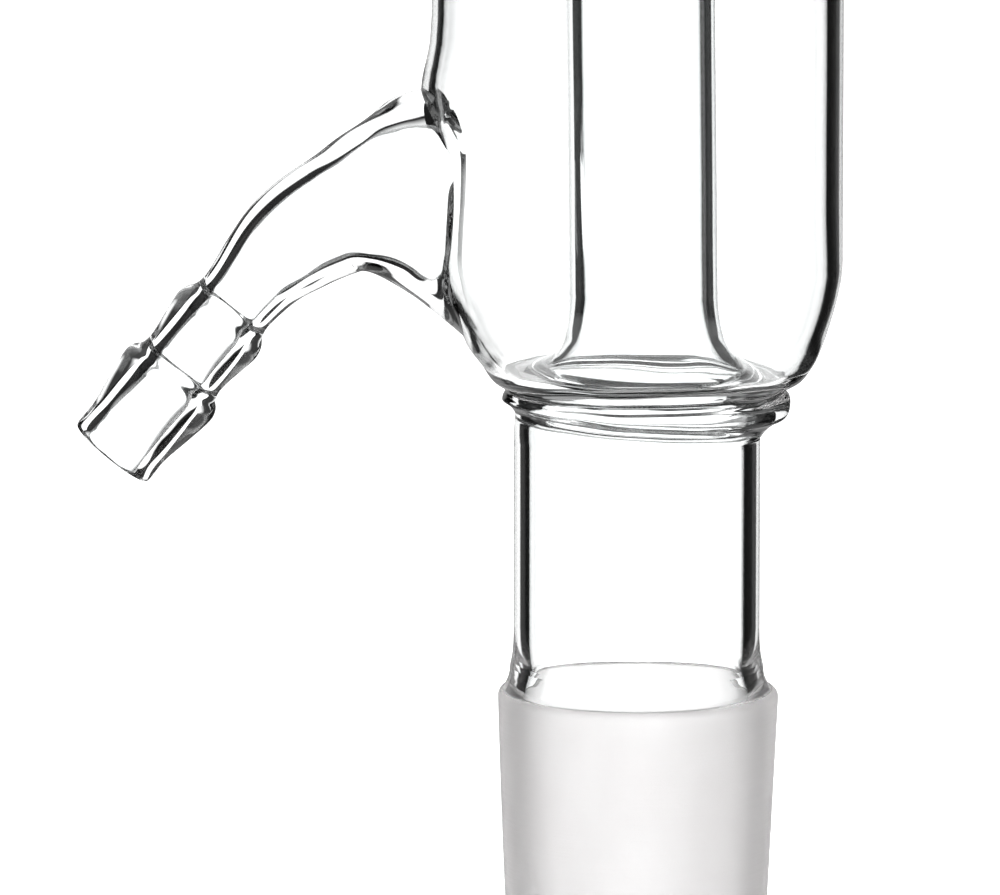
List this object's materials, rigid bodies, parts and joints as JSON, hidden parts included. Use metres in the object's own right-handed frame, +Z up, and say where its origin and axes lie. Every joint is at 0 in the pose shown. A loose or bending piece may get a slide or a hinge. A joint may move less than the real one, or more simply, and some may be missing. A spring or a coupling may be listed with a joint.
{
  "type": "liebig condenser",
  "caption": "Straight glass condenser: water jacket sealed round a condenser tube, ground cone with drip tip below, ground socket above, two barbed hose arms.",
  "frame": {"origin": "on the condenser tube's axis, at the gauge plane (large end of the taper) of the lower ground cone", "axes": "+Z up the tube to the socket, -X towards the water inlet arm, which lies in the XZ plane with the outlet arm"},
  "size_m": [0.0946, 0.0346, 0.353],
  "materials": {
    "drawn_glass": "clear, fire-polished drawn tubing",
    "worked_glass": "clear, flame-worked, slightly wavy",
    "ground_glass": "finely ground, frosted on the taper"
  },
  "bodies": {
    "root": {"condenser_tube": "drawn_glass", "drip_tip": "worked_glass", "ground_cone": "ground_glass", "ground_socket": "ground_glass", "inlet_hose_arm": "worked_glass", "inlet_weld_collar": "worked_glass", "lower_neck": "drawn_glass", "lower_ring_seal": "worked_glass", "outlet_hose_arm": "worked_glass", "outlet_weld_collar": "worked_glass", "upper_neck": "drawn_glass", "upper_ring_seal": "worked_glass", "water_jacket": "drawn_glass"}
  },
  "joints": []
}
